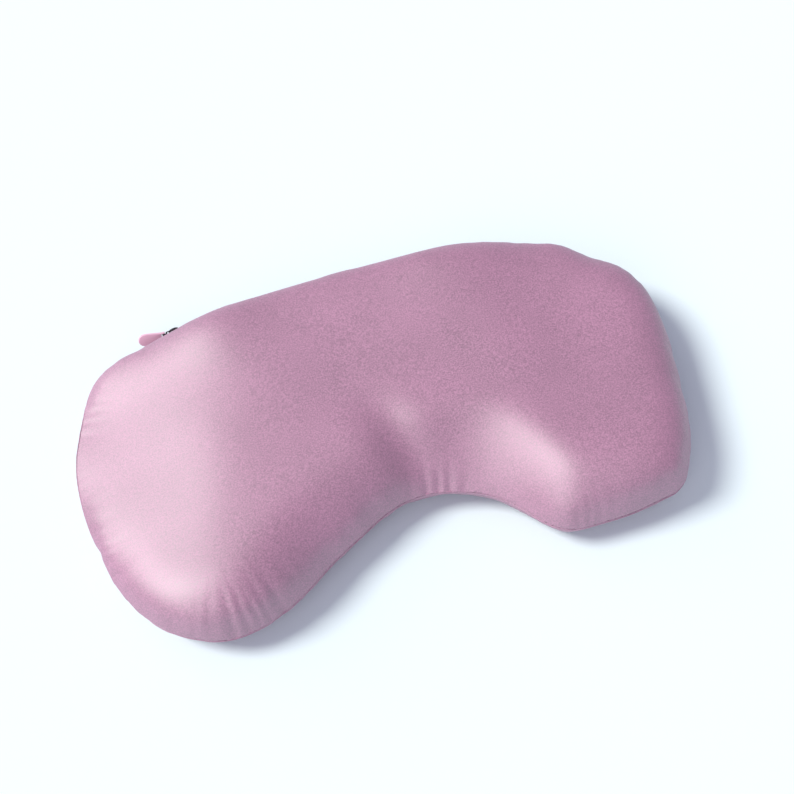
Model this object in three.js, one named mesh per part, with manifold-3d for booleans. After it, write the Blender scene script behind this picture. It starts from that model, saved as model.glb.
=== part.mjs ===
// Contoured eye pillow: a satin cover with a nose notch and a concealed zip along its brow
// edge, over a loose cotton insert filled with seeds.
// Millimetres. X runs along the pillow, +Y points to the brow edge, -Y to the nose notch, +Z up.
// The origin is on the surface the pillow lies on, under the middle of its outline.

import * as THREE from 'three';
import { mergeVertices } from 'three/addons/utils/BufferGeometryUtils.js';
import Module from 'manifold-3d';

// Outline of the cover, seen from above.
const HALF_LENGTH = 115;
const BROW_Y = 66;
const CHEEK_Y = -66;
const NOTCH_Y = -37.5;
const CHEEK_X = 70;
const SIDE_Y = 8;
const BROW_RADIUS = 380;
const BROW_ARC_X = 76;
const OUTLINE_STEPS = 60;

// Section through the pillow. Depths run inwards from the outline.
const SEAM_Z = 12;
const HEIGHT = 30;
const LIP_HALF_GAP = 0.7;
const CAP_DEPTH = 30;
const TOP_REACH = 32;
const BASE_REACH = 21;
const SATIN = 0.8;
const COTTON = 0.6;
const ALLOWANCE = 7;
const INSERT_INSET = 8;
const INSERT_EASE = 1.3;
const FILL_EASE = 1.2;
const FILL_INSET = 1.8;
const THREAD = 0.8;
const THREAD_DEPTH = 0.9;

// Concealed zip. Angles are about the centre of the brow arc, from +Y towards +X.
const CHAIN_START = -10.7;
const CHAIN_END = 6.1;
const TAPE_START = -11.4;
const TAPE_END = 6.9;
const CHAIN_STEPS = 12;
const SLIDER_ANGLE = -10;
const STOP_LENGTH = 1.6;
const STOP_GAP = 0.35;
const TAPE_THICKNESS = 0.4;
const TAPE_DEPTHS = [1.6, 7.2];
const TAPE_LIFTS = [0.65, 2.4];
const COIL_DEPTHS = [2.4, 3.8];
const COIL_LIFTS = [0.65, 1.7];
const STITCH = 0.5;
const STITCH_DEPTH = 5.6;

// Slider and its pull, measured outwards from the lips of the seam.
const SLIDER_LENGTH = 8;
const SLIDER_HEIGHT = 3.2;
const FRONT_PLATE = [0.4, 1.1];
const BACK_PLATE = [-4.85, -4.15];
const NECK_LENGTH = 2.6;
const NECK_THICKNESS = 0.6;
const BRIDGE_HALF_LENGTH = 2.2;
const BRIDGE_RISE = 2.9;
const BRIDGE_WIRE = 0.7;
const PIVOT_OUT = 2.2;
const PULL_LIFT = 10;
const PULL_ROLL = 30;
const EYE_WIRE = 0.55;
const EYE_THICKNESS = 0.6;
const EYE_HALF_WIDTH = 1.3;
const EYE_LENGTH = 3.3;
const TONGUE = { length: 1.2, halfWidth: 0.35 };
const TAB = { start: 3.6, tip: 14.2, bulb: 2.4, neck: 1.15, thickness: 1.2 };

const BROW_CENTRE_Y = BROW_Y - BROW_RADIUS;
const radians = THREE.MathUtils.degToRad;

const wasm = await Module();
wasm.setup();

function material(color, roughness, metalness = 0) {
  return new THREE.MeshStandardMaterial({ color, roughness, metalness });
}

const satin = material('#c48fac', 0.42);
const cotton = material('#efe9dc', 0.9);
const flax = material('#7a5230', 0.6);
const thread = material('#c08aa6', 0.6);
const tapeCloth = material('#b98aa4', 0.8);
const nylon = material('#c99ab2', 0.45);
const enamel = material('#eebcd2', 0.3);
const darkMetal = material('#3c3638', 0.35, 0.9);

// ---- Outline -------------------------------------------------------------------------------

// One closed path, anticlockwise from the bottom of the nose notch.
function coverPath() {
  const arcEnd = Math.asin(BROW_ARC_X / BROW_RADIUS);
  const arcEndY = BROW_CENTRE_Y + BROW_RADIUS * Math.cos(arcEnd);
  const corner = 17;
  const runX = corner * Math.cos(arcEnd);
  const runY = corner * Math.sin(arcEnd);
  const path = new THREE.Path();
  path.moveTo(0, NOTCH_Y);
  path.bezierCurveTo(26, NOTCH_Y, CHEEK_X - 32, CHEEK_Y, CHEEK_X, CHEEK_Y);
  path.bezierCurveTo(CHEEK_X + 28, CHEEK_Y, HALF_LENGTH, SIDE_Y - 50, HALF_LENGTH, SIDE_Y);
  path.bezierCurveTo(HALF_LENGTH, SIDE_Y + 28, BROW_ARC_X + runX, arcEndY - runY, BROW_ARC_X, arcEndY);
  path.absarc(0, BROW_CENTRE_Y, BROW_RADIUS, Math.PI / 2 - arcEnd, Math.PI / 2 + arcEnd, false);
  path.bezierCurveTo(-BROW_ARC_X - runX, arcEndY - runY, -HALF_LENGTH, SIDE_Y + 28, -HALF_LENGTH, SIDE_Y);
  path.bezierCurveTo(-HALF_LENGTH, SIDE_Y - 50, -CHEEK_X - 28, CHEEK_Y, -CHEEK_X, CHEEK_Y);
  path.bezierCurveTo(32 - CHEEK_X, CHEEK_Y, -26, NOTCH_Y, 0, NOTCH_Y);
  return path;
}

const outlinePath = coverPath();

// The point at a share t of the way round, moved inwards by a depth and up by a lift
// from the plane of the seam.
function seamPoint(t, depth, lift) {
  const point = outlinePath.getPoint(t);
  const tangent = outlinePath.getTangent(t);
  return new THREE.Vector3(point.x - tangent.y * depth, point.y + tangent.x * depth, SEAM_Z + lift);
}

function ring([depth, lift]) {
  return Array.from({ length: OUTLINE_STEPS }, (_, i) => seamPoint(i / OUTLINE_STEPS, depth, lift));
}

// ---- Closed bodies from sections -----------------------------------------------------------

function geometryFrom(points, triangles) {
  const geometry = new THREE.BufferGeometry();
  geometry.setAttribute('position', new THREE.Float32BufferAttribute(points.flatMap((p) => p.toArray()), 3));
  geometry.setIndex(triangles);
  return geometry;
}

// Skins a list of equal loops of points one after another, and closes both ends. Seen from
// the last loop back to the first, each loop runs anticlockwise.
function skin(loops, flatten) {
  const count = loops[0].length;
  const triangles = [];
  for (let k = 0; k < loops.length - 1; k += 1) {
    for (let i = 0; i < count; i += 1) {
      const a = k * count + i;
      const b = k * count + ((i + 1) % count);
      triangles.push(a, b, b + count, a, b + count, a + count);
    }
  }
  const cap = THREE.ShapeUtils.triangulateShape(loops[0].map(flatten), []);
  const last = (loops.length - 1) * count;
  for (const [a, b, c] of cap) {
    triangles.push(c, b, a, last + a, last + b, last + c);
  }
  return geometryFrom(loops.flat(), triangles);
}

// A body whose section, a list of (depth, lift) pairs, follows the whole outline.
function aroundOutline(section) {
  return skin(section.map(ring), (p) => new THREE.Vector2(p.x, p.y));
}

// A body whose closed section of (depth, lift) pairs follows the brow arc between two angles.
function alongBrow(section, startAngle, endAngle, steps = CHAIN_STEPS) {
  const loops = Array.from({ length: steps + 1 }, (_, k) => {
    const angle = radians(startAngle + ((endAngle - startAngle) * k) / steps);
    return section.map(([depth, lift]) => browPoint(angle, depth, lift));
  });
  return skin(loops, (p) => new THREE.Vector2(Math.hypot(p.x, p.y - BROW_CENTRE_Y), p.z));
}

function browPoint(angle, depth, lift) {
  const radius = BROW_RADIUS - depth;
  return new THREE.Vector3(
    radius * Math.sin(angle),
    BROW_CENTRE_Y + radius * Math.cos(angle),
    SEAM_Z + lift,
  );
}

function browDegrees(length) {
  return THREE.MathUtils.radToDeg(length / BROW_RADIUS);
}

// ---- Panels --------------------------------------------------------------------------------

// Height of a filled panel above its lip, at a depth inwards from the lip.
function dome(depth, rise, reach) {
  const share = 1 - Math.min(depth / reach, 1);
  return rise * (1 - share ** 2.2) ** 0.62;
}

// Points of a domed line from the lip at one inset to the cap.
function domeLine(inset, rise, reach, depths) {
  return depths.map((depth) => [inset + depth, LIP_HALF_GAP + dome(depth, rise, reach)]);
}

// The same line moved to its inner side by a thickness, without the lip point.
function insideLine(line, thickness) {
  const points = [];
  for (let i = 1; i < line.length; i += 1) {
    const [d0, l0] = line[i - 1];
    const [d1, l1] = line[Math.min(i + 1, line.length - 1)];
    const length = Math.hypot(d1 - d0, l1 - l0);
    points.push([line[i][0] + ((l1 - l0) / length) * thickness, line[i][1] - ((d1 - d0) / length) * thickness]);
  }
  return points;
}

function capLast(line) {
  return [...line.slice(0, -1), [CAP_DEPTH, line.at(-1)[1]]];
}

// Lifts are measured away from the seam plane. A lower panel is the mirror of an upper one,
// and its loops run in the other order so that its faces still point out.
function panel(outer, inner, upper) {
  const section = [...inner].reverse().concat(outer);
  return upper
    ? aroundOutline(section)
    : aroundOutline(section.reverse().map(([depth, lift]) => [depth, -lift]));
}

// A satin panel: domed skin, lip, and the seam allowance turned in behind the lip.
function coverPanel(rise, reach, upper) {
  const outer = domeLine(0, rise, reach, [0, 0.9, 3, 7.5, 14, 21, CAP_DEPTH]);
  const allowance = [
    [SATIN, LIP_HALF_GAP],
    [SATIN + 0.4, 2.7],
    [ALLOWANCE, 2.7],
    [ALLOWANCE, 3.2],
    [2.4, 3.2],
  ];
  const skinLine = capLast(insideLine(outer.slice(1), SATIN));
  return panel(outer, [...allowance, ...skinLine], upper);
}

function insertPanel(rise, reach, upper) {
  const depths = [0, 1.2, 4, 10, 16, CAP_DEPTH - INSERT_INSET];
  const outer = domeLine(INSERT_INSET, rise - INSERT_EASE, reach - INSERT_INSET, depths);
  const lip = [INSERT_INSET + COTTON, LIP_HALF_GAP];
  return panel(outer, [lip, ...capLast(insideLine(outer, COTTON))], upper);
}

// The seeds settle into one rounded mass that fills the insert.
function seedFill(topRise, baseRise) {
  const depths = [0, 1.4, 4, 9, 15, CAP_DEPTH - INSERT_INSET - FILL_INSET];
  const inset = INSERT_INSET + FILL_INSET;
  const ease = INSERT_EASE + FILL_EASE;
  const top = domeLine(inset, topRise - ease, TOP_REACH - inset, depths);
  const base = domeLine(inset, baseRise - ease, BASE_REACH - inset, depths);
  return aroundOutline([...base.reverse().map(([depth, lift]) => [depth, -lift]), ...top]);
}

// ---- Threads -------------------------------------------------------------------------------

class SeamCurve extends THREE.Curve {
  constructor(start, end, depth) {
    super();
    Object.assign(this, { start, end, depth });
  }

  getPoint(t, target = new THREE.Vector3()) {
    const share = THREE.MathUtils.euclideanModulo(this.start + (this.end - this.start) * t, 1);
    return target.copy(seamPoint(share, this.depth, 0));
  }
}

class BrowCurve extends THREE.Curve {
  constructor(startAngle, endAngle, depth, lift) {
    super();
    Object.assign(this, { startAngle, endAngle, depth, lift });
  }

  getPoint(t, target = new THREE.Vector3()) {
    const angle = radians(THREE.MathUtils.lerp(this.startAngle, this.endAngle, t));
    return target.copy(browPoint(angle, this.depth, this.lift));
  }
}

function roundSection(diameter, sides) {
  const corner = (i) => {
    const angle = (2 * Math.PI * i) / sides;
    return new THREE.Vector2(Math.cos(angle), Math.sin(angle)).multiplyScalar(diameter / 2);
  };
  return new THREE.Shape(Array.from({ length: sides }, (_, i) => corner(i)));
}

function threadAlong(curve, diameter, steps) {
  return new THREE.ExtrudeGeometry(roundSection(diameter, 6), { steps, extrudePath: curve });
}

// Share of the outline at which the brow arc stands at an angle: its top is half way round.
function outlineShare(angle) {
  return 0.5 - (radians(angle) * BROW_RADIUS) / outlinePath.getLength();
}

// ---- Zip -----------------------------------------------------------------------------------

function mirrored(section, side) {
  const points = section.map(([depth, lift]) => [depth, side * lift]);
  return side > 0 ? points : points.reverse();
}

// The tape's woven edge folds over the coil, and its flat part runs in under the allowance.
function zipTape(side) {
  const [front, back] = TAPE_DEPTHS;
  const [low, high] = TAPE_LIFTS;
  const section = [
    [front, low],
    [front, high],
    [back, high],
    [back, high - TAPE_THICKNESS],
    [front + TAPE_THICKNESS, high - TAPE_THICKNESS],
    [front + TAPE_THICKNESS, low],
  ];
  return alongBrow(mirrored(section, side), TAPE_START, TAPE_END);
}

function zipCoil(side) {
  const [front, back] = COIL_DEPTHS;
  const [low, high] = COIL_LIFTS;
  const corner = 0.3;
  const section = [
    [front, low],
    [front, high - corner],
    [front + corner, high],
    [back - corner, high],
    [back, high - corner],
    [back, low],
  ];
  return alongBrow(mirrored(section, side), CHAIN_START, CHAIN_END);
}

function zipStop(startAngle, lowLift, highLift) {
  const [front, back] = COIL_DEPTHS;
  const section = [
    [front, lowLift],
    [front, highLift],
    [back, highLift],
    [back, lowLift],
  ];
  return alongBrow(section, startAngle, startAngle + browDegrees(STOP_LENGTH), 1);
}

function topStop(side) {
  const start = CHAIN_START - browDegrees(STOP_GAP + STOP_LENGTH);
  const [low, high] = COIL_LIFTS;
  return side > 0 ? zipStop(start, low, high) : zipStop(start, -high, -low);
}

function bottomStop() {
  const high = COIL_LIFTS[1];
  return zipStop(CHAIN_END + browDegrees(STOP_GAP), -high, high);
}

function zipStitching(side) {
  const lift = side * (TAPE_LIFTS[1] - TAPE_THICKNESS - STOP_GAP - STITCH / 2);
  return threadAlong(new BrowCurve(TAPE_START + 0.2, TAPE_END - 0.2, STITCH_DEPTH, lift), STITCH, CHAIN_STEPS);
}

// ---- Slider and pull -----------------------------------------------------------------------

function toSolid(geometry) {
  const bare = new THREE.BufferGeometry();
  bare.setAttribute('position', geometry.getAttribute('position'));
  bare.setIndex(geometry.getIndex());
  const merged = mergeVertices(bare, 1e-4);
  const mesh = new wasm.Mesh({
    numProp: 3,
    vertProperties: new Float32Array(merged.attributes.position.array),
    triVerts: new Uint32Array(merged.index.array),
  });
  return new wasm.Manifold(mesh);
}

function fromSolid(solid) {
  const mesh = solid.getMesh();
  const geometry = new THREE.BufferGeometry();
  geometry.setAttribute('position', new THREE.BufferAttribute(new Float32Array(mesh.vertProperties), 3));
  geometry.setIndex(new THREE.BufferAttribute(new Uint32Array(mesh.triVerts), 1));
  return geometry;
}

function joined(geometries) {
  return fromSolid(geometries.map(toSolid).reduce((sum, solid) => sum.add(solid)));
}

// In the slider's own frame X runs along the chain, Y outwards from the lips and Z up.
function sliderPlate([inner, outer], height) {
  const half = SLIDER_LENGTH / 2;
  const side = height / 2;
  const shape = new THREE.Shape();
  shape.moveTo(-half, -side * 0.45);
  shape.quadraticCurveTo(-half, -side, -half * 0.4, -side);
  shape.quadraticCurveTo(half, -side, half, 0);
  shape.quadraticCurveTo(half, side, -half * 0.4, side);
  shape.quadraticCurveTo(-half, side, -half, side * 0.45);
  const geometry = new THREE.ExtrudeGeometry(shape, { depth: outer - inner, bevelEnabled: false, curveSegments: 5 });
  geometry.rotateX(Math.PI / 2);
  return geometry.translate(0, outer, 0);
}

function sliderBody() {
  const neckDepth = FRONT_PLATE[0] - BACK_PLATE[1] + 0.4;
  const neck = new THREE.BoxGeometry(NECK_LENGTH, neckDepth, NECK_THICKNESS);
  neck.translate(0, (FRONT_PLATE[0] + BACK_PLATE[1]) / 2, 0);
  return joined([sliderPlate(FRONT_PLATE, SLIDER_HEIGHT), sliderPlate(BACK_PLATE, SLIDER_HEIGHT), neck]);
}

// A flat arch on the front plate, with the pull's cross bar held under it.
function sliderBridge() {
  const half = BRIDGE_HALF_LENGTH;
  const inner = half - BRIDGE_WIRE;
  const foot = FRONT_PLATE[1] + 0.3;
  const top = FRONT_PLATE[1] + BRIDGE_RISE;
  const shape = new THREE.Shape();
  shape.moveTo(-half, foot);
  shape.lineTo(-inner, foot);
  shape.lineTo(-inner, top - 1.6);
  shape.quadraticCurveTo(-inner, top - BRIDGE_WIRE, 0, top - BRIDGE_WIRE);
  shape.quadraticCurveTo(inner, top - BRIDGE_WIRE, inner, top - 1.6);
  shape.lineTo(inner, foot);
  shape.lineTo(half, foot);
  shape.lineTo(half, top - 1.4);
  shape.quadraticCurveTo(half, top, 0, top);
  shape.quadraticCurveTo(-half, top, -half, top - 1.4);
  const options = { depth: BRIDGE_WIRE, bevelEnabled: false, curveSegments: 4 };
  return new THREE.ExtrudeGeometry(shape, options).translate(0, 0, -BRIDGE_WIRE / 2);
}

// In the pull's own frame X runs from its pivot to its tip and Y along its cross bar.
function pullEye() {
  const width = EYE_HALF_WIDTH;
  const bar = EYE_WIRE / 2;
  const end = EYE_LENGTH;
  const tongueEnd = TAB.start + TONGUE.length;
  const shape = new THREE.Shape();
  shape.moveTo(-bar, -width);
  shape.lineTo(end, -width * 0.75);
  shape.lineTo(end, -TONGUE.halfWidth);
  shape.lineTo(tongueEnd, -TONGUE.halfWidth);
  shape.lineTo(tongueEnd, TONGUE.halfWidth);
  shape.lineTo(end, TONGUE.halfWidth);
  shape.lineTo(end, width * 0.75);
  shape.lineTo(-bar, width);
  const window = new THREE.Path();
  const inside = width - EYE_WIRE;
  window.moveTo(bar, -inside);
  window.lineTo(bar, inside);
  window.lineTo(end - EYE_WIRE, inside);
  window.lineTo(end - EYE_WIRE, -inside);
  shape.holes.push(window);
  const options = { depth: EYE_THICKNESS, bevelEnabled: false };
  return new THREE.ExtrudeGeometry(shape, options).translate(0, 0, -EYE_THICKNESS / 2);
}

function pullTab() {
  const { start, tip, bulb, neck, thickness } = TAB;
  const slot = TONGUE.halfWidth + 0.3;
  const slotEnd = start + TONGUE.length + 0.3;
  const bulbX = tip - bulb;
  const shape = new THREE.Shape();
  shape.moveTo(start, slot);
  shape.lineTo(slotEnd, slot);
  shape.lineTo(slotEnd, -slot);
  shape.lineTo(start, -slot);
  shape.lineTo(start, -neck);
  shape.bezierCurveTo(start + 3, -neck, bulbX - 3, -bulb, bulbX, -bulb);
  shape.absarc(bulbX, 0, bulb, -Math.PI / 2, Math.PI / 2, false);
  shape.bezierCurveTo(bulbX - 3, bulb, start + 3, neck, start, neck);
  const options = { depth: thickness, bevelEnabled: false, curveSegments: 6 };
  return new THREE.ExtrudeGeometry(shape, options).translate(0, 0, -thickness / 2);
}

// ---- Assembly ------------------------------------------------------------------------------

function part(name, geometry, finish) {
  const mesh = new THREE.Mesh(geometry, finish);
  mesh.name = name;
  return mesh;
}

function coverParts() {
  const topRise = HEIGHT - SEAM_Z - LIP_HALF_GAP;
  const baseRise = SEAM_Z - LIP_HALF_GAP;
  const seamStart = outlineShare(TAPE_START) + 0.005;
  const seamEnd = outlineShare(TAPE_END) + 1 - 0.005;
  return [
    part('cover_top_panel', coverPanel(topRise, TOP_REACH, true), satin),
    part('cover_bottom_panel', coverPanel(baseRise, BASE_REACH, false), satin),
    part('cover_seam_thread', threadAlong(new SeamCurve(seamStart, seamEnd, THREAD_DEPTH), THREAD, 60), thread),
  ];
}

function insertParts() {
  const topRise = HEIGHT - SEAM_Z - LIP_HALF_GAP;
  const baseRise = SEAM_Z - LIP_HALF_GAP;
  const depth = INSERT_INSET + THREAD_DEPTH;
  const closingStart = outlineShare(-3);
  const closingEnd = outlineShare(-12);
  const closing = new SeamCurve(closingStart, closingEnd, depth);
  const seam = new SeamCurve(closingEnd + 0.005, closingStart + 1 - 0.005, depth);
  return [
    part('insert_top_panel', insertPanel(topRise, TOP_REACH, true), cotton),
    part('insert_bottom_panel', insertPanel(baseRise, BASE_REACH, false), cotton),
    part('insert_seam_thread', threadAlong(seam, THREAD, 60), cotton),
    part('insert_closing_thread', threadAlong(closing, THREAD, 8), cotton),
    part('seed_fill', seedFill(topRise, baseRise), flax),
  ];
}

function zipParts() {
  const upper = 1;
  const lower = -1;
  return [
    part('zip_tape_upper', zipTape(upper), tapeCloth),
    part('zip_tape_lower', zipTape(lower), tapeCloth),
    part('zip_coil_upper', zipCoil(upper), nylon),
    part('zip_coil_lower', zipCoil(lower), nylon),
    part('zip_stitching_upper', zipStitching(upper), thread),
    part('zip_stitching_lower', zipStitching(lower), thread),
    part('zip_top_stop_upper', topStop(upper), nylon),
    part('zip_top_stop_lower', topStop(lower), nylon),
    part('zip_bottom_stop', bottomStop(), nylon),
  ];
}

function pullGroup() {
  const group = new THREE.Group();
  group.add(part('pull_eye', pullEye(), darkMetal));
  group.add(part('pull_tab', pullTab(), enamel));
  group.position.set(0, PIVOT_OUT, 0);
  const lift = radians(PULL_LIFT);
  const along = new THREE.Vector3(-Math.cos(lift), Math.sin(lift), 0);
  const across = new THREE.Vector3(0, 0, 1).applyAxisAngle(along, radians(PULL_ROLL));
  const facing = new THREE.Vector3().crossVectors(along, across);
  group.quaternion.setFromRotationMatrix(new THREE.Matrix4().makeBasis(along, across, facing));
  return group;
}

function sliderGroup() {
  const group = new THREE.Group();
  group.add(part('slider_body', sliderBody(), darkMetal));
  group.add(part('slider_bridge', sliderBridge(), darkMetal));
  group.add(pullGroup());
  group.position.copy(browPoint(radians(SLIDER_ANGLE), 0, 0));
  group.rotation.z = -radians(SLIDER_ANGLE);
  return group;
}

const eyePillow = new THREE.Group();
eyePillow.add(...coverParts(), ...insertParts(), ...zipParts(), sliderGroup());

export default eyePillow;
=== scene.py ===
"""Looks of the contoured satin eye pillow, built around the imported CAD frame. Metres."""

import math

import bmesh
import bpy
import numpy as np
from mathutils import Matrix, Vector, geometry

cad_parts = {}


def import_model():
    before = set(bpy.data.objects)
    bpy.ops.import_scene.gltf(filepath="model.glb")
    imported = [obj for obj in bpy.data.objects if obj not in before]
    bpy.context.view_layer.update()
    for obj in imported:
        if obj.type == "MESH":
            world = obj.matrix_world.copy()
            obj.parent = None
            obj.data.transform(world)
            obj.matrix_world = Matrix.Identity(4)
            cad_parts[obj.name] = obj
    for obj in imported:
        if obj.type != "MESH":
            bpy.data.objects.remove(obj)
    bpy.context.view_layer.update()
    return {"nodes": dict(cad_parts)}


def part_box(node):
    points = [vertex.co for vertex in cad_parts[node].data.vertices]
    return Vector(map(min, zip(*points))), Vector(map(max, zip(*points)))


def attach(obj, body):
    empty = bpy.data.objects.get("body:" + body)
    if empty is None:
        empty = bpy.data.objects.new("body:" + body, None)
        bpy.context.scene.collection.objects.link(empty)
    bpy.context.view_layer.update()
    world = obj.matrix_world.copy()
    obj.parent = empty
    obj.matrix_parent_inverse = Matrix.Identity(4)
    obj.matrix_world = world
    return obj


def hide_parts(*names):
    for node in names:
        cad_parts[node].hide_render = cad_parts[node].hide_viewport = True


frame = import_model()
nodes = frame["nodes"]

# ---- Dimensions ------------------------------------------------------------------------------

TOP_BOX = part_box("cover_top_panel")
BASE_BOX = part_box("cover_bottom_panel")
HALF_LENGTH = TOP_BOX[1][0]
BROW_Y = TOP_BOX[1][1]
CHEEK_Y = TOP_BOX[0][1]
TOP_Z = TOP_BOX[1][2]
SEAM_Z = (TOP_BOX[0][2] + BASE_BOX[1][2]) / 2

# The cover's outline, as the CAD cuts it.
NOTCH_Y = -0.0375
CHEEK_X = 0.070
SIDE_Y = 0.008
BROW_RADIUS = 0.380
BROW_ARC_X = 0.076
BROW_CENTRE = Vector((0, BROW_Y - BROW_RADIUS))
NOTCH_HANDLES = (0.026, 0.032)
CHEEK_HANDLES = (0.028, 0.050)
CORNER_HANDLES = (0.028, 0.017)

# How far the soft outline lies from its cut. Each is x, y, reach, and push outwards.
LYING_PUSHES = [
    (0.000, -0.037, 0.014, -0.0032),
    (0.026, -0.045, 0.013, -0.0046),
    (-0.034, -0.052, 0.012, -0.0032),
    (-0.054, -0.066, 0.014, -0.0030),
    (0.046, -0.062, 0.008, 0.0020),
    (0.062, -0.066, 0.008, -0.0016),
    (0.094, -0.060, 0.006, 0.0018),
    (0.080, -0.066, 0.010, -0.0022),
    (0.112, -0.022, 0.016, -0.0022),
    (-0.094, 0.045, 0.010, 0.0044),
    (-0.114, -0.010, 0.022, 0.0014),
    (-0.088, -0.062, 0.010, -0.0010),
    (0.081, 0.060, 0.009, -0.0030),
    (0.098, 0.044, 0.007, -0.0026),
]

# Nets of cloth.
OUTLINE_POINTS = 256
FINE_POINTS = 1024
COVER_CELL = 0.0026
INSERT_CELL = 0.0036
PATTERN_SCALE = (1.035, 1.07, 0)
SATIN = 0.0003
COTTON = 0.0005
SEWN_HALF_GAP = 0.00005
ZIP_HALF_GAP = 0.00045
FOLD = 0.0009
ZIP_X = (-0.075, 0.046)

# The filled form that the cover settles on, measured in from the outline.
FORM_EASE = 0.002
FORM_BASE_EASE = 0.0015
FORM_BASE_REACH = 0.013
COVER_BASE_REACH = 0.015
LEFT_MARGIN = 0.0075
RIGHT_MARGIN = 0.003
INSERT_INSET = 0.0085
INSERT_EASE = 0.0018
INSERT_BASE_REACH = 0.011
INSERT_REACH_EASE = -0.001
SEED_INSET = 0.0018
SEED_EASE = 0.0014

# Cloth settings. The simulation runs at ten times the real size.
SIM_SCALE = 10.0
SIM_FRAMES = 30
SEAM_HOLD = 0.1
BENDING = 1.0
PRESSURE = 0.5
GRAVITY = 0.1
FRICTION = 0.5

# Zip coils, measured in from the brow seam and up or down from it.
COIL_DEPTH = 0.0031
COIL_HALF_DEPTH = 0.00048
COIL_LIFT = 0.00117
COIL_HALF_LIFT = 0.0003
COIL_WIRE = 0.0002
COIL_PITCH = 0.0009
COIL_STEPS = 12

# Stitches, all a little way in from their seam.
STITCH_DEPTH = 0.0007
STITCH_RADIUS = 0.00018
STITCH_LENGTH = 0.0022
STITCH_PITCH = 0.0026
HAND_STITCH = (0.00025, 0.0016, 0.003)

# Finishing of the satin.
START_SMOOTHING = 5
MOVE_SMOOTHING = 24
GATHER_PITCH = 0.0056
# Each is x, y, spread along the seam, height, and how quickly it fades inwards.
GATHERS = [
    (0.008, -0.0375, 0.008, 0.0048, 0.0024),
    (-0.064, -0.066, 0.018, 0.0048, 0.0042),
    (-0.104, 0.036, 0.012, 0.0012, 0.0040),
    (0.056, -0.064, 0.008, 0.0026, 0.0030),
    (-0.112, -0.020, 0.024, 0.0016, 0.0035),
]

# ---- Outline -----------------------------------------------------------------------------------


def bezier(p0, p1, p2, p3, steps=40):
    t = np.linspace(0, 1, steps, endpoint=False)[:, None]
    p0, p1, p2, p3 = (np.array(p) for p in (p0, p1, p2, p3))
    return (1 - t) ** 3 * p0 + 3 * (1 - t) ** 2 * t * p1 + 3 * (1 - t) * t**2 * p2 + t**3 * p3


def evenly(points, count):
    """The same closed line as a number of points at equal distances."""
    closed = np.vstack([points, points[:1]])
    lengths = np.r_[0, np.cumsum(np.linalg.norm(np.diff(closed, axis=0), axis=1))]
    at = np.linspace(0, lengths[-1], count, endpoint=False)
    return np.column_stack([np.interp(at, lengths, closed[:, k]) for k in (0, 1)])


def cut_outline():
    """The cover's outline as cut, anticlockwise from the bottom of the nose notch."""
    arc_end = math.asin(BROW_ARC_X / BROW_RADIUS)
    corner = np.array([BROW_ARC_X, BROW_CENTRE.y + BROW_RADIUS * math.cos(arc_end)])
    run = CORNER_HANDLES[1] * np.array([math.cos(arc_end), -math.sin(arc_end)])
    angles = np.linspace(arc_end, 0, 30, endpoint=False)
    notch, cheek, side = (0, NOTCH_Y), (CHEEK_X, CHEEK_Y), (HALF_LENGTH, SIDE_Y)
    past_notch = (NOTCH_HANDLES[0], NOTCH_Y)
    before_cheek = (CHEEK_X - NOTCH_HANDLES[1], CHEEK_Y)
    past_cheek = (CHEEK_X + CHEEK_HANDLES[0], CHEEK_Y)
    below_side = (HALF_LENGTH, SIDE_Y - CHEEK_HANDLES[1])
    above_side = (HALF_LENGTH, SIDE_Y + CORNER_HANDLES[0])
    right = np.vstack([
        bezier(notch, past_notch, before_cheek, cheek),
        bezier(cheek, past_cheek, below_side, side),
        bezier(side, above_side, corner + run, corner),
        np.column_stack([BROW_RADIUS * np.sin(angles), BROW_CENTRE.y + BROW_RADIUS * np.cos(angles)]),
    ])
    left = (right * [-1, 1])[::-1]
    return evenly(np.vstack([right, [[0, BROW_Y]], left[:-1]]), OUTLINE_POINTS)


def normals(line):
    """Unit normals of an anticlockwise line, pointing out."""
    tangent = np.roll(line, -1, axis=0) - np.roll(line, 1, axis=0)
    tangent /= np.linalg.norm(tangent, axis=1)[:, None]
    return np.column_stack([tangent[:, 1], -tangent[:, 0]])


def pushed(line, pushes):
    """The line pushed out near each (x, y, reach, distance), and in where the distance is negative."""
    out = sum(mound(line, x, y, reach, distance) for x, y, reach, distance in pushes)
    return evenly(line + normals(line) * out[:, None], len(line))


def lying_outline():
    """The outline as the soft pillow lies, a little in or out from the shape it was cut to."""
    return pushed(cut_outline(), LYING_PUSHES)


def depth_inside(points, line):
    """Distance from each point to a closed line."""
    fine = evenly(line, FINE_POINTS)
    gap = points[:, None, :2] - fine[None, :, :]
    return np.sqrt((gap**2).sum(axis=2).min(axis=1))


def inside(points, line):
    """Which points lie inside a closed line, by counting crossings."""
    a = line
    b = np.roll(line, -1, axis=0)
    x, y = points[:, 0, None], points[:, 1, None]
    straddles = (a[:, 1] > y) != (b[:, 1] > y)
    rise = np.where(b[:, 1] == a[:, 1], 1e-12, b[:, 1] - a[:, 1])
    crossing = straddles & (x < a[:, 0] + (y - a[:, 1]) * (b[:, 0] - a[:, 0]) / rise)
    return crossing.sum(axis=1) % 2 == 1


# ---- Shape of the fill ---------------------------------------------------------------------------


def blend_in(low, high, x):
    """0 below low, 1 above high, and smooth between."""
    t = np.clip((x - low) / (high - low), 0, 1)
    return t * t * (3 - 2 * t)


def mound(points, x, y, radius, height):
    """A round swelling, or a hollow where the height is negative."""
    gap = (points[:, 0] - x) ** 2 + (points[:, 1] - y) ** 2
    return height * np.exp(-gap / (2 * radius**2))


def bulge(depth, reach):
    """Rounded edge of a full bag, from 0 at its seam to 1."""
    share = 1 - np.clip(depth / reach, 0, 1)
    return np.sqrt(1 - share**2)


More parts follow.
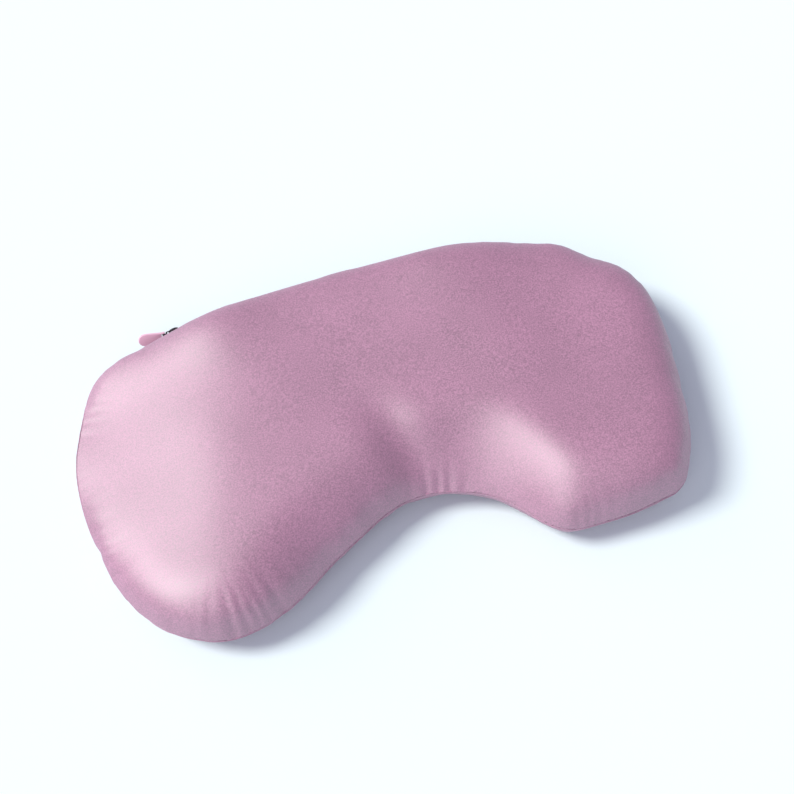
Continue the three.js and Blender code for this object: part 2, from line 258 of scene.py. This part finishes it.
def edge_reach(points):
    """How far in from the seam the fill reaches its full height: plumpest along the brow."""
    x, y = points[:, 0], points[:, 1]
    brow = -0.004 * blend_in(0.030, 0.050, y) * blend_in(0.100, 0.080, np.abs(x))
    right = -0.005 * blend_in(0.060, 0.085, x)
    left = -0.005 * blend_in(0.075, 0.095, -x)
    notch_left = mound(points, -0.034, -0.046, 0.016, 0.014)
    return 0.015 + brow + right + left + notch_left + 0.014 * notch_slope(points)


def notch_slope(points):
    """1 along the notch's right-hand side, where the seeds lie as a slope, and 0 elsewhere."""
    x, y = points[:, 0], points[:, 1]
    return np.exp(-(((x - 0.024) / 0.026) ** 2)) * blend_in(0.0, -0.020, y)


def fullness(points, line, ease=0.0):
    """Rounded edge of the full bag, from 0 at its seam to 1, with a plain slope by the notch."""
    share = np.clip(depth_inside(points, line) / (edge_reach(points) + ease), 0, 1)
    round_edge = np.sqrt(1 - (1 - share) ** 2)
    roll = np.sqrt(1 - (1 - np.clip(3 * share, 0, 1)) ** 2)
    slope = 0.10 * roll + 0.45 * share + 0.45 * np.sin(share * math.pi / 2)
    weight = notch_slope(points)
    return round_edge * (1 - weight) + slope * weight


def left_fall(points):
    """The seeds thin out towards the left end, past a bent ridge across the left lobe."""
    x, y = points[:, 0], points[:, 1]
    ridge = -0.046 - 0.42 * np.hypot(y - 0.032, 0.008)
    past = (ridge - x + np.hypot(ridge - x, 0.012)) / 2
    return 0.25 * past


def settled(points):
    """Listed unevenness of the seeds."""
    x, y = points[:, 0], points[:, 1]
    across = x - 0.004 + 0.30 * (y + 0.030)
    valley = -0.0050 * np.exp(-((across / 0.0060) ** 2)) * blend_in(0.008, -0.024, y)
    slider_crest = mound(points, -0.054, 0.051, 0.012, 0.0026)
    brow_crest = mound(points, 0.040, 0.052, 0.013, 0.0020)
    low_brow = mound(points, 0.080, 0.055, 0.012, -0.0035)
    dent = mound(points, 0.100, 0.042, 0.008, -0.004)
    return valley + slider_crest + brow_crest + low_brow + dent


def top_rise(points):
    return TOP_Z - SEAM_Z - 0.001 - left_fall(points) + settled(points)


# ---- Nets and panels -----------------------------------------------------------------------------


def coords(mesh):
    flat = np.empty(len(mesh.vertices) * 3)
    mesh.vertices.foreach_get("co", flat)
    return flat.reshape(-1, 3)


def set_coords(mesh, points):
    mesh.vertices.foreach_set("co", np.ascontiguousarray(points, dtype=float).ravel())
    mesh.update()


def new_object(name, verts, faces):
    mesh = bpy.data.meshes.new(name)
    mesh.from_pydata([tuple(v) for v in verts], [], faces)
    mesh.update()
    obj = bpy.data.objects.new(name, mesh)
    bpy.context.scene.collection.objects.link(obj)
    return obj


def square(name, half):
    """A level square at height 0."""
    corners = [(-half, -half, 0), (half, -half, 0), (half, half, 0), (-half, half, 0)]
    return new_object(name, corners, [(0, 1, 2, 3)])


def linked_mesh(name, mesh):
    """A new object from a bmesh, which is freed."""
    data = bpy.data.meshes.new(name)
    mesh.to_mesh(data)
    mesh.free()
    obj = bpy.data.objects.new(name, data)
    bpy.context.scene.collection.objects.link(obj)
    shade_smooth(obj)
    return obj


def panel_net(line, cell):
    """A flat net of mostly square cells inside a closed line, whose points come first."""
    low, high = line.min(axis=0), line.max(axis=0)
    xs = np.arange(low[0] + cell / 2, high[0], cell)
    ys = np.arange(low[1] + cell / 2, high[1], cell)
    grid = np.array(np.meshgrid(xs, ys)).reshape(2, -1).T
    grid = grid[inside(grid, line)]
    grid = grid[depth_inside(grid, line) > cell * 0.6]
    count = len(line)
    rim = [(i, (i + 1) % count) for i in range(count)]
    net = geometry.delaunay_2d_cdt([Vector(p) for p in np.vstack([line, grid])], rim, [], 1, 1e-7)
    mesh = bmesh.new()
    verts = [mesh.verts.new((v.x, v.y, 0)) for v in net[0]]
    for face in net[2]:
        mesh.faces.new([verts[i] for i in face])
    bmesh.ops.join_triangles(mesh, faces=mesh.faces, angle_face_threshold=3, angle_shape_threshold=0.7)
    mesh.verts.index_update()
    flat = np.array([v.co[:2] for v in mesh.verts])
    faces = [[v.index for v in face.verts] for face in mesh.faces]
    mesh.free()
    return flat, faces


def closed_pillow(name, line, cell, top, base):
    """Two panels joined along one line. top and base give heights from the seam at flat points.
    Returns the object and the faces of its upper panel."""
    flat, faces = panel_net(line, cell)
    count = len(line)
    inner = flat[count:]
    verts = np.vstack([
        np.column_stack([flat[:count], np.full(count, SEAM_Z)]),
        np.column_stack([inner, SEAM_Z + top(inner)]),
        np.column_stack([inner, SEAM_Z - base(inner)]),
    ])
    under = [[i if i < count else i + len(inner) for i in reversed(face)] for face in faces]
    return new_object(name, verts, faces + under), faces


def seam_gap(x, y):
    """Half the gap between the lips: wider along the zip, where the slider's neck passes."""
    along = blend_in(ZIP_X[0] - 0.004, ZIP_X[0], x) * blend_in(ZIP_X[1] + 0.004, ZIP_X[1], x)
    return SEWN_HALF_GAP + (ZIP_HALF_GAP - SEWN_HALF_GAP) * along * (y > 0)


def panel_parts(whole, panel_faces, side, gap):
    """One panel of a closed pillow as points and faces, with its edge folded in behind the lip."""
    points = coords(whole.data)
    count = OUTLINE_POINTS
    used = sorted({i for face in panel_faces for i in face if i >= count})
    where = {i: i for i in range(count)} | {old: count + k for k, old in enumerate(used)}
    faces = [[where[i] for i in face] for face in panel_faces]
    rim = points[:count]
    lift = side * gap(rim[:, 0], rim[:, 1])
    up = np.array([0, 0, 1])
    inward = -np.column_stack([normals(rim[:, :2]), np.zeros(count)])
    lip = rim + up * lift[:, None]
    turned = lip + inward * FOLD + up * side * FOLD * 0.2
    first = count + len(used)
    for i in range(count):
        j = (i + 1) % count
        ring = [j, i, first + i, first + j]
        faces.append(ring if side > 0 else ring[::-1])
    return np.vstack([lip, points[used], turned]), faces


def subdivided(obj, levels):
    """Turns a subdivision of the object into its mesh."""
    smooth = obj.modifiers.new("Smooth", "SUBSURF")
    smooth.levels = smooth.render_levels = levels
    graph = bpy.context.evaluated_depsgraph_get()
    data = bpy.data.meshes.new_from_object(obj.evaluated_get(graph))
    obj.modifiers.remove(smooth)
    obj.data = data


def shade_smooth(obj):
    obj.data.polygons.foreach_set("use_smooth", [True] * len(obj.data.polygons))


def split_panel(name, whole, panel_faces, side, thickness, gap, shape=None):
    """One cloth panel of a closed pillow. shape may move its subdivided points."""
    obj = new_object(name, *panel_parts(whole, panel_faces, side, gap))
    subdivided(obj, 1)
    if shape:
        set_coords(obj.data, shape(coords(obj.data)))
        subdivided(obj, 1)
    shade_smooth(obj)
    cloth = obj.modifiers.new("Thickness", "SOLIDIFY")
    cloth.thickness = thickness
    cloth.offset = -1
    return obj


def under_faces(faces, inner_count):
    return [[i if i < OUTLINE_POINTS else i + inner_count for i in reversed(face)] for face in faces]


# ---- Cloth simulation ------------------------------------------------------------------------------


def collide(obj):
    obj.modifiers.new("Collision", "COLLISION")
    obj.collision.thickness_outer = 0.01
    obj.collision.cloth_friction = FRICTION


def hold_seam(cover, line):
    """The zip keeps its stretch of the seam in place, and the rest may creep a little."""
    group = cover.vertex_groups.new(name="seam")
    for i, (x, y) in enumerate(line):
        on_zip = y > 0.05 and ZIP_X[0] < x < ZIP_X[1]
        group.add([i], 1.0 if on_zip else SEAM_HOLD, "REPLACE")
    return group.name


def cloth_modifier(cover, pattern, held):
    cloth = cover.modifiers.new("Cloth", "CLOTH")
    springs = cloth.settings
    springs.rest_shape_key = pattern
    springs.vertex_group_mass = held
    springs.quality = 6
    springs.mass = 0.3
    springs.tension_stiffness = 25
    springs.compression_stiffness = 25
    springs.shear_stiffness = 5
    springs.bending_stiffness = BENDING
    springs.use_pressure = True
    springs.uniform_pressure_force = PRESSURE
    springs.effector_weights.gravity = GRAVITY
    cloth.collision_settings.distance_min = 0.008
    cloth.point_cache.frame_end = SIM_FRAMES
    return cloth


def settle(cover, form, line):
    """Lets the cover settle over the filled form, with its springs at their flat-cut lengths."""
    scene = bpy.context.scene
    scene.frame_start, scene.frame_end = 1, SIM_FRAMES
    for obj in (cover, form):
        set_coords(obj.data, coords(obj.data) * SIM_SCALE)
    cover.shape_key_add(name="lying")
    pattern = cover.shape_key_add(name="pattern")
    pattern.data.foreach_set("co", (coords(cover.data) * PATTERN_SCALE).ravel())
    edge = SIM_SCALE * HALF_LENGTH * 2
    ground = square("ground", edge)
    collide(ground)
    collide(form)
    cloth = cloth_modifier(cover, pattern, hold_seam(cover, line))
    for step in range(1, SIM_FRAMES + 1):
        scene.frame_set(step)
    graph = bpy.context.evaluated_depsgraph_get()
    points = coords(cover.evaluated_get(graph).data) / SIM_SCALE
    scene.frame_set(1)
    bpy.data.objects.remove(ground)
    cover.modifiers.remove(cloth)
    cover.shape_key_clear()
    points[:, 2] = np.maximum(points[:, 2], 0)
    set_coords(cover.data, points)


def evened(values, edges, weight, steps):
    """Each row of values drawn towards the mean of its neighbours, a number of times."""
    degree = np.bincount(edges.ravel(), minlength=len(values))[:, None]
    values = values.copy()
    for _ in range(steps):
        total = np.zeros_like(values)
        np.add.at(total, edges[:, 0], values[edges[:, 1]])
        np.add.at(total, edges[:, 1], values[edges[:, 0]])
        values += weight * (total / degree - values)
    return values


def smooth_wrinkles(cover, line, start):
    """Away from the seam the satin lies smooth, so its start and how far it moved are evened out."""
    points = coords(cover.data)
    edges = np.array([edge.vertices[:] for edge in cover.data.edges])
    weight = 0.9 * blend_in(0.003, 0.013, depth_inside(points, line))[:, None]
    smooth_start = evened(start, edges, weight, START_SMOOTHING)
    smooth = smooth_start + evened(points - start, edges, weight, MOVE_SMOOTHING)
    below = smooth[:, 2] < SEAM_Z
    lowest = smooth[:, 2].min()
    smooth[below, 2] = (smooth[below, 2] - lowest) * SEAM_Z / (SEAM_Z - lowest)
    set_coords(cover.data, smooth)


def gathered(points, seam):
    """Small pleats where a tight curve of the seam bunches the satin."""
    fine = evenly(seam[:, :2], FINE_POINTS)
    gap = np.sqrt(((points[:, None, :2] - fine[None]) ** 2).sum(axis=2))
    nearest = gap.argmin(axis=1)
    depth = gap.min(axis=1)
    step = np.linalg.norm(fine[1] - fine[0])
    along = nearest * step
    out = points.copy()
    for x, y, spread, height, length in GATHERS:
        centre = np.hypot(fine[:, 0] - x, fine[:, 1] - y).argmin() * step
        offset = along - centre
        offset = (offset + FINE_POINTS / 2 * step) % (FINE_POINTS * step) - FINE_POINTS / 2 * step
        warped = offset / GATHER_PITCH + 0.35 * np.sin(offset / 0.0043)
        ripple = 1 - np.abs(np.sin(math.pi * warped))
        fade = np.exp(-((offset / spread) ** 2)) * np.exp(-depth / length) * blend_in(0, 0.0012, depth)
        room = np.clip(0.6 * (points[:, 2] - SEAM_Z), 0, None)
        out[:, 2] -= np.minimum(height * ripple * fade, room)
    return out


def make_cover(line):
    """The satin cover's two panels, settled over the fill."""
    x = line[:, 0]
    left = LEFT_MARGIN * blend_in(0.080, 0.112, -x)
    right = RIGHT_MARGIN * blend_in(0.085, 0.112, x)
    inset = FORM_EASE + left + right
    form_line = evenly(line - normals(line) * inset[:, None], len(line))
    form, _ = closed_pillow(
        "form",
        form_line,
        INSERT_CELL,
        lambda p: top_rise(p) * fullness(p, form_line),
        lambda p: (SEAM_Z - FORM_BASE_EASE) * bulge(depth_inside(p, form_line), FORM_BASE_REACH),
    )
    whole, faces = closed_pillow(
        "cover",
        line,
        COVER_CELL,
        lambda p: (top_rise(p) + 0.001) * fullness(p, line, 0.004),
        lambda p: SEAM_Z * bulge(depth_inside(p, line), COVER_BASE_REACH),
    )
    start = coords(whole.data)
    settle(whole, form, line)
    inner = (len(whole.data.vertices) - OUTLINE_POINTS) // 2
    smooth_wrinkles(whole, line, start)
    seam = coords(whole.data)[:OUTLINE_POINTS].copy()
    top = split_panel("cover_top", whole, faces, 1, SATIN, seam_gap, lambda p: gathered(p, seam))
    bottom = split_panel("cover_bottom", whole, under_faces(faces, inner), -1, SATIN, seam_gap)
    for obj in (form, whole):
        bpy.data.objects.remove(obj)
    return top, bottom, seam


def make_insert(line):
    """The cotton insert's two panels, and the mass of seeds that fills them."""
    insert_line = evenly(line - normals(line) * INSERT_INSET, len(line))
    base_rise = SEAM_Z - FORM_BASE_EASE
    whole, faces = closed_pillow(
        "insert",
        insert_line,
        INSERT_CELL,
        lambda p: (top_rise(p) - INSERT_EASE) * fullness(p, insert_line, INSERT_REACH_EASE),
        lambda p: (base_rise - INSERT_EASE) * bulge(depth_inside(p, insert_line), INSERT_BASE_REACH),
    )
    inner = (len(whole.data.vertices) - OUTLINE_POINTS) // 2

    def gap(x, y):
        return np.full(len(x), SEWN_HALF_GAP)

    top = split_panel("insert_top", whole, faces, 1, COTTON, gap)
    bottom = split_panel("insert_bottom", whole, under_faces(faces, inner), -1, COTTON, gap)
    bpy.data.objects.remove(whole)
    fill_line = evenly(insert_line - normals(insert_line) * SEED_INSET, len(line))
    ease = INSERT_EASE + SEED_EASE
    seeds, _ = closed_pillow(
        "seeds",
        fill_line,
        INSERT_CELL,
        lambda p: (top_rise(p) - ease) * fullness(p, fill_line, INSERT_REACH_EASE),
        lambda p: (base_rise - ease) * bulge(depth_inside(p, fill_line), INSERT_BASE_REACH),
    )
    shade_smooth(seeds)
    return top, bottom, seeds, insert_line


# ---- Thread ----------------------------------------------------------------------------------------


def ring_of_points(mesh, centre, turn, radius, sides=6):
    angles = np.linspace(0, 2 * math.pi, sides, endpoint=False)
    spokes = (Vector((math.cos(a), math.sin(a), 0)) for a in angles)
    return [mesh.verts.new(centre + turn @ (spoke * radius)) for spoke in spokes]


def closed_rod(mesh, loops):
    """Skins a row of rings and closes both ends."""
    sides = len(loops[0])
    for low, high in zip(loops, loops[1:]):
        for i in range(sides):
            j = (i + 1) % sides
            mesh.faces.new([low[i], low[j], high[j], high[i]])
    mesh.faces.new(loops[0][::-1])
    mesh.faces.new(loops[-1])


def capsule(mesh, start, end, radius):
    """A closed rod between two points, narrower at its ends."""
    axis = end - start
    turn = Vector((0, 0, 1)).rotation_difference(axis).to_matrix()
    rings = [(0.0, 0.35), (0.18, 0.85), (0.5, 1.0), (0.82, 0.85), (1.0, 0.35)]
    loops = [ring_of_points(mesh, start + axis * share, turn, radius * swell) for share, swell in rings]
    closed_rod(mesh, loops)


def stitches(name, line, radius=STITCH_RADIUS, length=STITCH_LENGTH, pitch=STITCH_PITCH):
    """Short stitches along a line of 3-D points."""
    line = np.asarray(line)
    lengths = np.r_[0, np.cumsum(np.linalg.norm(np.diff(line, axis=0), axis=1))]

    def at(distance):
        return Vector([float(np.interp(distance, lengths, line[:, k])) for k in range(3)])

    mesh = bmesh.new()
    for start in np.arange(0, lengths[-1] - length, pitch):
        capsule(mesh, at(start), at(start + length), radius)
    return linked_mesh(name, mesh)


def seam_stitches(seam):
    """The cover's seam, from the right end of the zip round to its left end."""
    on_zip = (seam[:, 1] > 0.05) & (seam[:, 0] > ZIP_X[0]) & (seam[:, 0] < ZIP_X[1])
    last = np.flatnonzero(on_zip)[-1]
    order = np.roll(np.arange(len(seam)), -(last + 1))
    order = order[~on_zip[order]]
    inward = -np.column_stack([normals(seam[:, :2]), np.zeros(len(seam))])
    return stitches("seam_thread", (seam + inward * STITCH_DEPTH)[order])


def insert_stitches(line):
    """The insert's machine seam, and the hand-closed gap at the brow that it was filled through."""
    inward = -np.column_stack([normals(line), np.zeros(len(line))])
    path = np.column_stack([line, np.full(len(line), SEAM_Z)]) + inward * STITCH_DEPTH
    low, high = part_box("insert_closing_thread")
    closing = (line[:, 1] > 0) & (line[:, 0] > low[0]) & (line[:, 0] < high[0])
    order = np.roll(np.arange(len(line)), -(np.flatnonzero(closing)[-1] + 1))
    return {
        "insert_seam_thread": stitches("insert_seam", path[order[~closing[order]]]),
        "insert_closing_thread": stitches("insert_closing", path[order[closing[order]]], *HAND_STITCH),
    }


# ---- Materials -------------------------------------------------------------------------------------


# The colour sockets of a Mix node, which share their names with its number sockets.
MIX_COLOR_A, MIX_COLOR_B, MIX_COLOR_RESULT = 6, 7, 2


class Nodes:
    """A material's node tree, with short calls to add and join nodes."""

    def __init__(self, name, color, roughness, **values):
        self.material = bpy.data.materials.new(name)
        self.material.use_nodes = True
        self.tree = self.material.node_tree
        self.shader = self.tree.nodes["Principled BSDF"]
        self.color = color
        self.shader.inputs["Base Color"].default_value = (*color, 1)
        self.shader.inputs["Roughness"].default_value = roughness
        for key, value in values.items():
            self.shader.inputs[key.replace("_", " ")].default_value = value
        self.place = self.tree.nodes.new("ShaderNodeTexCoord").outputs["Object"]

    def add(self, kind, inputs=(), **settings):
        node = self.tree.nodes.new("ShaderNode" + kind)
        for key, value in settings.items():
            setattr(node, key, value)
        for key, value in dict(inputs).items():
            if hasattr(value, "is_linked"):
                self.tree.links.new(value, node.inputs[key])
            else:
                node.inputs[key].default_value = value
        return node

    def stretched(self, scale):
        return self.add("Mapping", {"Vector": self.place, "Scale": scale}).outputs["Vector"]

    def noise(self, scale, detail=2.0, stretch=None):
        vector = self.stretched(stretch) if stretch else self.place
        return self.add("TexNoise", {"Vector": vector, "Scale": scale, "Detail": detail}).outputs["Fac"]

    def waves(self, scale, direction, distortion=0.0):
        inputs = {"Vector": self.place, "Scale": scale, "Distortion": distortion, "Detail": 1.0}
        return self.add("TexWave", inputs, bands_direction=direction).outputs["Fac"]

    def math(self, operation, a, b):
        return self.add("Math", {0: a, 1: b}, operation=operation).outputs[0]

    def spread(self, value, low, high, from_low=0.0, from_high=1.0):
        inputs = {"Value": value, "From Min": from_low, "From Max": from_high, "To Min": low, "To Max": high}
        return self.add("MapRange", inputs).outputs[0]

    def tint(self, factor, dark, light):
        """Colour between two brightness shares of the base colour."""
        low = (*(c * dark for c in self.color), 1)
        high = (*(min(c * light, 1) for c in self.color), 1)
        mix = self.add("Mix", data_type="RGBA")
        self.tree.links.new(factor, mix.inputs["Factor"])
        mix.inputs[MIX_COLOR_A].default_value = low
        mix.inputs[MIX_COLOR_B].default_value = high
        self.tree.links.new(mix.outputs[MIX_COLOR_RESULT], self.shader.inputs["Base Color"])

    def bump(self, height, distance, strength=1.0):
        bump = self.add("Bump", {"Height": height, "Distance": distance, "Strength": strength})
        self.tree.links.new(bump.outputs["Normal"], self.shader.inputs["Normal"])

    def roughness(self, value, low, high):
        self.tree.links.new(self.spread(value, low, high), self.shader.inputs["Roughness"])


def satin():
    """Pink satin: floats along X under a fine crosswise thread, with a broad sheen."""
    n = Nodes(
        "satin",
        (0.345, 0.148, 0.243),
        0.54,
        Specular_IOR_Level=0.95,
        IOR=1.9,
        Anisotropic=0.35,
    )
    # The fine speckle is partly painted glints, standing in for the weave's sparkle, and partly random
    # grain; the same noise also varies the roughness.
    glint_speckle = n.spread(n.noise(1900, 1), 0.0, 1.0, 0.3, 0.7)
    cloud = n.spread(n.noise(40, 3), 0.0, 1.0, 0.3, 0.7)
    mottle = n.math("ADD", n.math("MULTIPLY", glint_speckle, 0.8), n.math("MULTIPLY", cloud, 0.2))
    # Painted glints: the colour goes lighter and darker with the fine speckle, mixed with a broad cloud of
    # random tone.
    n.tint(mottle, 0.64, 1.36)
    floats = n.noise(1, 2, (1300, 2900, 2900))
    threads = n.waves(2600, "X", 1.5)
    n.bump(n.math("ADD", n.math("MULTIPLY", threads, 0.2), floats), 0.00005, 0.7)
    n.roughness(glint_speckle, 0.48, 0.58)
    tangent = n.add("Tangent", direction_type="UV_MAP", uv_map="grain")
    n.tree.links.new(tangent.outputs["Tangent"], n.shader.inputs["Tangent"])
    return n.material


def cotton():
    n = Nodes("cotton", (0.80, 0.76, 0.68), 0.9, Sheen_Weight=0.2)
    weave = n.math("MULTIPLY", n.waves(700, "X", 1.0), n.waves(700, "Y", 1.0))
    mottle = n.math("ADD", n.math("MULTIPLY", weave, 0.5), n.math("MULTIPLY", n.noise(400, 4), 0.5))
    n.tint(mottle, 0.82, 1.08)
    n.bump(weave, 0.0001)
    return n.material


def flax():
    n = Nodes("flax", (0.16, 0.065, 0.025), 0.35, Specular_IOR_Level=0.6)
    cells = n.add("TexVoronoi", {"Vector": n.stretched((1, 1.6, 1.3)), "Scale": 330}, feature="F1")
    n.tint(cells.outputs["Color"], 0.6, 1.6)
    n.bump(n.math("SUBTRACT", 1.0, cells.outputs["Distance"]), 0.0006)
    return n.material


def thread_material(name, color):
    n = Nodes(name, color, 0.6, Sheen_Weight=0.3)
    twist = n.noise(1, 2, (5200, 5200, 1800))
    n.tint(twist, 0.8, 1.2)
    n.bump(twist, 0.00005)
    return n.material


def tape():
    n = Nodes("zip_tape", (0.42, 0.215, 0.32), 0.8, Sheen_Weight=0.25)
    weave = n.math("MULTIPLY", n.waves(1100, "X", 0.6), n.waves(1400, "Z", 0.4))
    n.tint(weave, 0.8, 1.15)
    n.bump(weave, 0.00008)
    return n.material


def nylon():
    n = Nodes("zip_nylon", (0.50, 0.27, 0.38), 0.42)
    coils = n.waves(390, "X")
    n.tint(coils, 0.72, 1.15)
    n.bump(coils, 0.0003)
    return n.material


def dark_metal():
    n = Nodes("zip_metal", (0.055, 0.047, 0.050), 0.38, Metallic=1.0)
    wear = n.noise(700, 5)
    n.tint(wear, 0.6, 1.9)
    n.roughness(wear, 0.28, 0.5)
    n.bump(n.noise(1600, 3), 0.00001)
    return n.material


def enamel():
    n = Nodes("pull_enamel", (0.80, 0.50, 0.62), 0.28, Coat_Weight=0.5, Coat_Roughness=0.12)
    n.tint(n.noise(260, 4), 0.94, 1.05)
    n.bump(n.noise(450, 3), 0.00003, 0.5)
    return n.material


def add_grain(obj):
    """UVs whose first axis runs along Y, so that the satin's sheen spreads that way."""
    layer = obj.data.uv_layers.new(name="grain")
    points = coords(obj.data)
    corners = np.empty(len(obj.data.loops), dtype=int)
    obj.data.loops.foreach_get("vertex_index", corners)
    layer.data.foreach_set("uv", points[corners][:, [1, 0]].ravel())


# ---- Zip coils ---------------------------------------------------------------------------------------


def brow_point(angle, depth, height):
    """A point inside the brow seam: angle along it in radians, depth in from it, height above it."""
    radius = BROW_RADIUS - depth
    return Vector((radius * math.sin(angle), BROW_CENTRE.y + radius * math.cos(angle), SEAM_Z + height))


def tube(name, path, radius):
    """A closed tube along a list of points."""
    mesh = bmesh.new()
    path = [Vector(p) for p in path]
    loops = []
    for i, point in enumerate(path):
        ahead = path[min(i + 1, len(path) - 1)] - path[max(i - 1, 0)]
        turn = ahead.to_track_quat("Z", "Y").to_matrix()
        loops.append(ring_of_points(mesh, point, turn, radius))
    closed_rod(mesh, loops)
    return linked_mesh(name, mesh)


def zip_coil(side):
    """One half of the zip's teeth: a nylon filament wound flat along the tape."""
    low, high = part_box("zip_coil_upper" if side > 0 else "zip_coil_lower")
    ends = [math.asin(x / (BROW_RADIUS - COIL_DEPTH)) for x in (low[0] + 0.0004, high[0] - 0.0004)]
    turns = int((ends[1] - ends[0]) * BROW_RADIUS / COIL_PITCH)
    steps = turns * COIL_STEPS
    path = []
    for i in range(steps + 1):
        turn = 2 * math.pi * i / COIL_STEPS
        angle = ends[0] + (ends[1] - ends[0]) * i / steps
        depth = COIL_DEPTH + COIL_HALF_DEPTH * math.cos(turn)
        height = side * (COIL_LIFT + COIL_HALF_LIFT * math.sin(turn))
        path.append(brow_point(angle, depth, height))
    return tube("coil_upper" if side > 0 else "coil_lower", path, COIL_WIRE)


# ---- Slider and pull -----------------------------------------------------------------------------


def rounded(node, name, width, segments=2):
    """A softened copy of a CAD node: the same solid with its sharp edges rounded off."""
    data = nodes[node].data.copy()
    obj = bpy.data.objects.new(name, data)
    bpy.context.scene.collection.objects.link(obj)
    mesh = bmesh.new()
    mesh.from_mesh(data)
    bmesh.ops.remove_doubles(mesh, verts=mesh.verts, dist=1e-6)
    bmesh.ops.dissolve_limit(mesh, angle_limit=math.radians(4), verts=mesh.verts, edges=mesh.edges)
    sharp = [e for e in mesh.edges if e.is_manifold and e.calc_face_angle() > math.radians(50)]
    shape = {"segments": segments, "affect": "EDGES", "profile": 0.5, "clamp_overlap": True}
    bmesh.ops.bevel(mesh, geom=sharp, offset=width, **shape)
    mesh.to_mesh(data)
    mesh.free()
    shade_smooth(obj)
    data.materials.clear()
    return obj


# ---- Stage, light and camera -----------------------------------------------------------------------

FLOOR_HALF_SIZE = 12.0
CAMERA_ELEVATION = math.radians(62)
CAMERA_AZIMUTH = math.radians(-18)
CAMERA_DISTANCE = 0.475
CAMERA_FIELD = math.radians(35)
CAMERA_TARGET = Vector((0.0069, 0.0086, SEAM_Z))
AMBIENT_COLOR = (0.84, 0.80, 1, 1)
AMBIENT_STRENGTH = 0.51
# Each is a name, the direction it stands in, strength, angular size in degrees, and colour.
LAMPS = [
    ("key", (-0.80, 0.26, 0.96), 3.0, 20, (1, 0.985, 0.94)),
    ("front", (-0.65, -0.75, 0.75), 0.55, 40, (1, 0.98, 0.98)),
    ("window", (-0.60, 0.72, 0.32), 0.40, 50, (0.95, 0.96, 1)),
]


def floor():
    obj = square("floor", FLOOR_HALF_SIZE)
    n = Nodes("floor", (0.745, 0.86, 0.88), 0.9, Specular_IOR_Level=0.0)
    n.tint(n.noise(3), 0.995, 1.005)
    obj.data.materials.append(n.material)


def soft_light(name, direction, strength, spread, color):
    """A broad lamp far away in one direction: its angular size, in degrees, softens the shadows."""
    data = bpy.data.lights.new(name, "SUN")
    data.energy = strength
    data.angle = math.radians(spread)
    data.color = color
    obj = bpy.data.objects.new(name, data)
    obj.rotation_euler = (-Vector(direction)).to_track_quat("-Z", "Y").to_euler()
    bpy.context.scene.collection.objects.link(obj)


def camera():
    heading = Vector((math.sin(CAMERA_AZIMUTH), -math.cos(CAMERA_AZIMUTH), 0))
    away = heading * math.cos(CAMERA_ELEVATION) + Vector((0, 0, math.sin(CAMERA_ELEVATION)))
    data = bpy.data.cameras.new("camera")
    data.angle = CAMERA_FIELD
    data.clip_start = 0.01
    obj = bpy.data.objects.new("camera", data)
    obj.location = CAMERA_TARGET + away * CAMERA_DISTANCE
    obj.rotation_euler = (-away).to_track_quat("-Z", "Y").to_euler()
    bpy.context.scene.collection.objects.link(obj)
    bpy.context.scene.camera = obj


def world():
    data = bpy.data.worlds.new("world")
    data.use_nodes = True
    background = data.node_tree.nodes["Background"]
    background.inputs["Color"].default_value = AMBIENT_COLOR
    background.inputs["Strength"].default_value = AMBIENT_STRENGTH
    bpy.context.scene.world = data


# ---- Assembly ----------------------------------------------------------------------------------------


def wear(obj, material):
    obj.data.materials.clear()
    obj.data.materials.append(material)


def place(obj, body, slot, material, *replaced):
    wear(obj, material)
    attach(obj, body)
    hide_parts(*replaced)


camera()
floor()
world()
for lamp in LAMPS:
    soft_light(*lamp)
bpy.context.scene.view_settings.view_transform = "Standard"

satin_cloth = satin()
cotton_cloth = cotton()
pink_thread = thread_material("thread", (0.47, 0.235, 0.35))
white_thread = thread_material("cotton_thread", (0.80, 0.76, 0.68))
metal = dark_metal()

line = lying_outline()
nylon_wire = nylon()
cover_top, cover_bottom, seam = make_cover(line)
insert_top, insert_bottom, seeds, insert_line = make_insert(line)
for piece in (cover_top, cover_bottom):
    add_grain(piece)

place(cover_top, "pillow", "satin", satin_cloth, "cover_top_panel")
place(cover_bottom, "pillow", "satin", satin_cloth, "cover_bottom_panel")
place(seam_stitches(seam), "pillow", "thread", pink_thread, "cover_seam_thread")
place(insert_top, "pillow", "cotton", cotton_cloth, "insert_top_panel")
place(insert_bottom, "pillow", "cotton", cotton_cloth, "insert_bottom_panel")
place(seeds, "pillow", "seeds", flax(), "seed_fill")
for name, thread in insert_stitches(insert_line).items():
    place(thread, "pillow", "cotton_thread", white_thread, name)
place(zip_coil(1), "pillow", "zip_nylon", nylon_wire, "zip_coil_upper")
place(zip_coil(-1), "pillow", "zip_nylon", nylon_wire, "zip_coil_lower")

place(rounded("slider_body", "slider", 0.00018), "slider", "zip_metal", metal, "slider_body")
place(rounded("slider_bridge", "bridge", 0.00014), "slider", "zip_metal", metal, "slider_bridge")
place(rounded("pull_eye", "eye", 0.00012), "pull", "zip_metal", metal, "pull_eye")
place(rounded("pull_tab", "tab", 0.00045, 4), "pull", "pull_enamel", enamel(), "pull_tab")

woven_tape = tape()
carried = {
    "zip_stitching_upper": pink_thread,
    "zip_stitching_lower": pink_thread,
    "zip_tape_upper": woven_tape,
    "zip_tape_lower": woven_tape,
    "zip_top_stop_upper": nylon_wire,
    "zip_top_stop_lower": nylon_wire,
    "zip_bottom_stop": nylon_wire,
}
for name, material in carried.items():
    wear(nodes[name], material)
